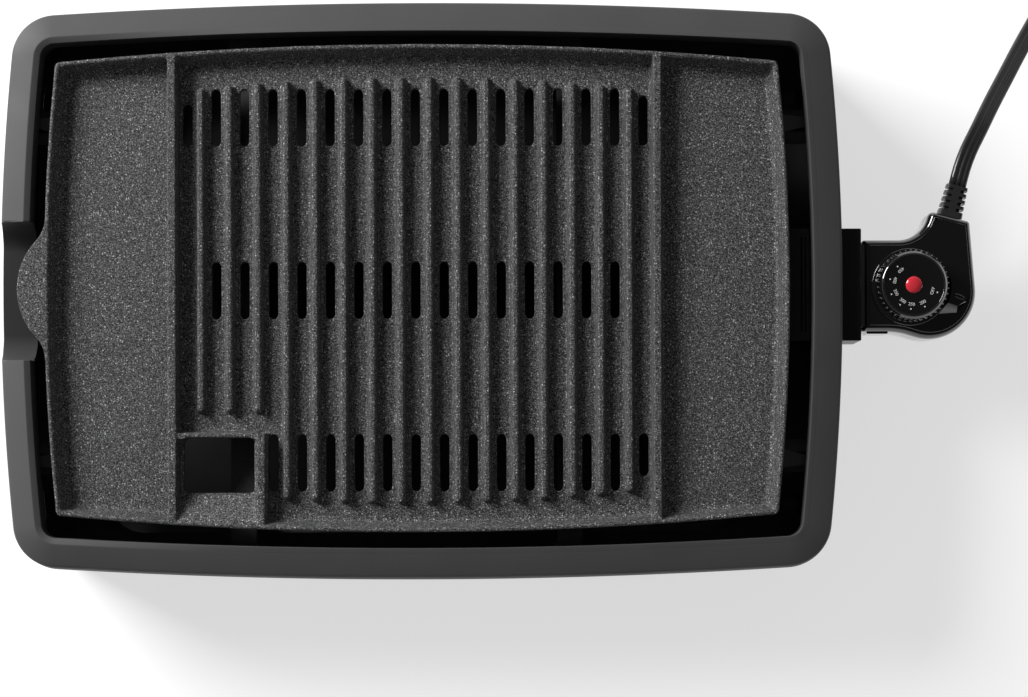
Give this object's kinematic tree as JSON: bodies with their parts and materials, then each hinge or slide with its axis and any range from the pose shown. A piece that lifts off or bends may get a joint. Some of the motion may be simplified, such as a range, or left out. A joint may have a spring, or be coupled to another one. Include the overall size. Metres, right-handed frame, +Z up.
{
  "type": "electric indoor grill",
  "caption": "Electric indoor grill: bowed cast plate with ribs, drip slots and griddle zones in a moulded base, with a plug-in thermostat control on a coiled flat cord.",
  "frame": {"origin": "on the table under the middle of the grill and its control, at the level of the feet's undersides", "axes": "+X to the right, from the grill to its control; +Y to the back; +Z up"},
  "size_m": [0.7201, 0.396, 0.084],
  "materials": {
    "housing_black": "satin",
    "foot_rubber": "matte",
    "plate_coating": "satin non-stick coating",
    "tray_sheet": "satin",
    "sheath": "oxidised",
    "ceramic": "matte",
    "zinc_steel": "satin",
    "pin_metal": "polished",
    "contact_brass": "satin",
    "control_black": "semi-gloss",
    "insulator": "matte",
    "shaft_plastic": "translucent",
    "lamp_glass": "clear",
    "lens_red": "gloss",
    "cord_black": "satin"
  },
  "bodies": {
    "base": {"base_housing": "housing_black", "foot_front_left": "foot_rubber", "foot_front_right": "foot_rubber", "foot_rear_left": "foot_rubber", "foot_rear_right": "foot_rubber", "foot_screws": "zinc_steel", "plate_pad_front_left": "foot_rubber", "plate_pad_front_right": "foot_rubber", "plate_pad_rear_left": "foot_rubber", "plate_pad_rear_right": "foot_rubber", "drip_tray": "tray_sheet", "heating_element": "sheath", "element_bead_line": "ceramic", "element_bead_neutral": "ceramic", "element_bar_left": "zinc_steel", "element_bar_right": "zinc_steel", "element_bar_screws": "zinc_steel", "element_clips": "zinc_steel", "terminal_block": "housing_black", "terminal_block_screws": "zinc_steel", "terminal_pin_line": "pin_metal", "terminal_pin_neutral": "pin_metal", "earth_strip": "zinc_steel"},
    "plate": {"grill_plate": "plate_coating"},
    "control": {"control_body_upper": "control_black", "control_body_lower": "control_black", "control_screws": "zinc_steel", "control_nose": "housing_black", "contact_line": "contact_brass", "contact_neutral": "contact_brass", "earth_leaf": "zinc_steel", "sensing_rod": "pin_metal", "thermostat_block": "insulator", "thermostat_springs": "contact_brass", "neon_lamp": "lamp_glass", "strain_relief": "cord_black", "power_cord": "cord_black", "power_cord_coil": "cord_black", "cord_tie": "cord_black", "plug_body": "cord_black", "plug_blade_line": "contact_brass", "plug_blade_neutral": "contact_brass", "plug_earth_pin": "contact_brass"},
    "dial": {"dial": "control_black", "dial_shaft": "shaft_plastic", "indicator_lens": "lens_red"}
  },
  "joints": [
    {"name": "grill_plate_lift", "type": "slide", "parent": "base", "child": "plate", "axis": [0, 0, 1], "range_m": [0, 0.12]},
    {"name": "control_unplug", "type": "slide", "parent": "base", "child": "control", "axis": [1, 0, 0], "range_m": [0, 0.08]},
    {"name": "dial_turn", "type": "hinge", "parent": "control", "child": "dial", "pos_m": [0.22845, 0.0022, 0.0726], "axis": [0, 0, 1], "range_deg": [0, 210]}
  ]
}
